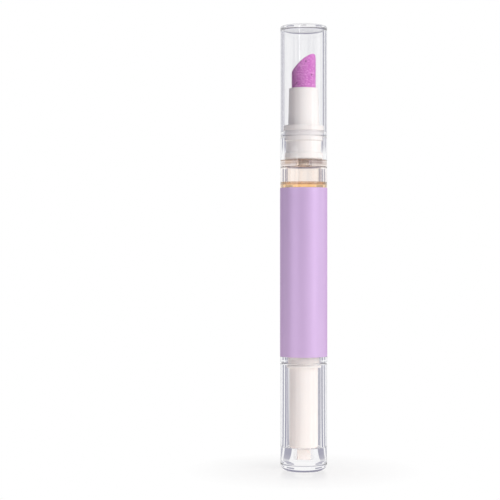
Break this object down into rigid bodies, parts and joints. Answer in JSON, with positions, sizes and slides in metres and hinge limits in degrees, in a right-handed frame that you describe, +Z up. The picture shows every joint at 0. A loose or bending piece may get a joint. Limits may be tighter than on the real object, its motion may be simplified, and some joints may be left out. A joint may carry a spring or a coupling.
{
  "type": "nail oil pen",
  "caption": "Slim upright twist-up oil pen: clear turning knob, sleeved clear barrel, white tip holder, slanted foam tip and clear pull-off cap.",
  "frame": {"origin": "centre of the knob's flat base, where the pen stands", "axes": "+Z up the pen from the knob to the cap; +X towards the high side of the slanted tip"},
  "size_m": [0.0142, 0.0142, 0.1338],
  "materials": {
    "clear_plastic": "clear moulded plastic, polished",
    "white_plastic": "white moulded plastic, semi-gloss",
    "grey_plastic": "pale grey moulded plastic",
    "rod_plastic": "natural moulded plastic",
    "soft_plastic": "soft natural plastic, smooth",
    "oil": "golden oil, clear and liquid",
    "sleeve_film": "lavender film with a satin sheen",
    "foam": "fine magenta foam, matte"
  },
  "bodies": {
    "barrel": {"barrel": "clear_plastic", "colour_sleeve": "sleeve_film", "rod_guide": "white_plastic", "oil": "oil", "tip_holder": "white_plastic", "foam_tip": "foam"},
    "knob": {"knob": "clear_plastic", "drive_core": "white_plastic", "click_ring": "grey_plastic"},
    "plunger": {"screw_rod": "rod_plastic", "piston": "soft_plastic"},
    "cap": {"cap": "clear_plastic"}
  },
  "joints": [
    {"name": "knob_turn", "type": "hinge", "parent": "barrel", "child": "knob", "pos_m": [0, 0, 0.0325], "axis": [0, 0, 1], "range_deg": [0, 2880]},
    {"name": "plunger_rise", "type": "slide", "parent": "barrel", "child": "plunger", "axis": [0, 0, 1], "range_m": [0, 0.024], "deforming": ["oil"]},
    {"name": "cap_pull", "type": "slide", "parent": "barrel", "child": "cap", "axis": [0, 0, 1], "range_m": [0, 0.036]}
  ],
  "couplings": [
    {"joint": "plunger_rise", "follows": "knob_turn", "m_per_rad": 0.00047746}
  ]
}
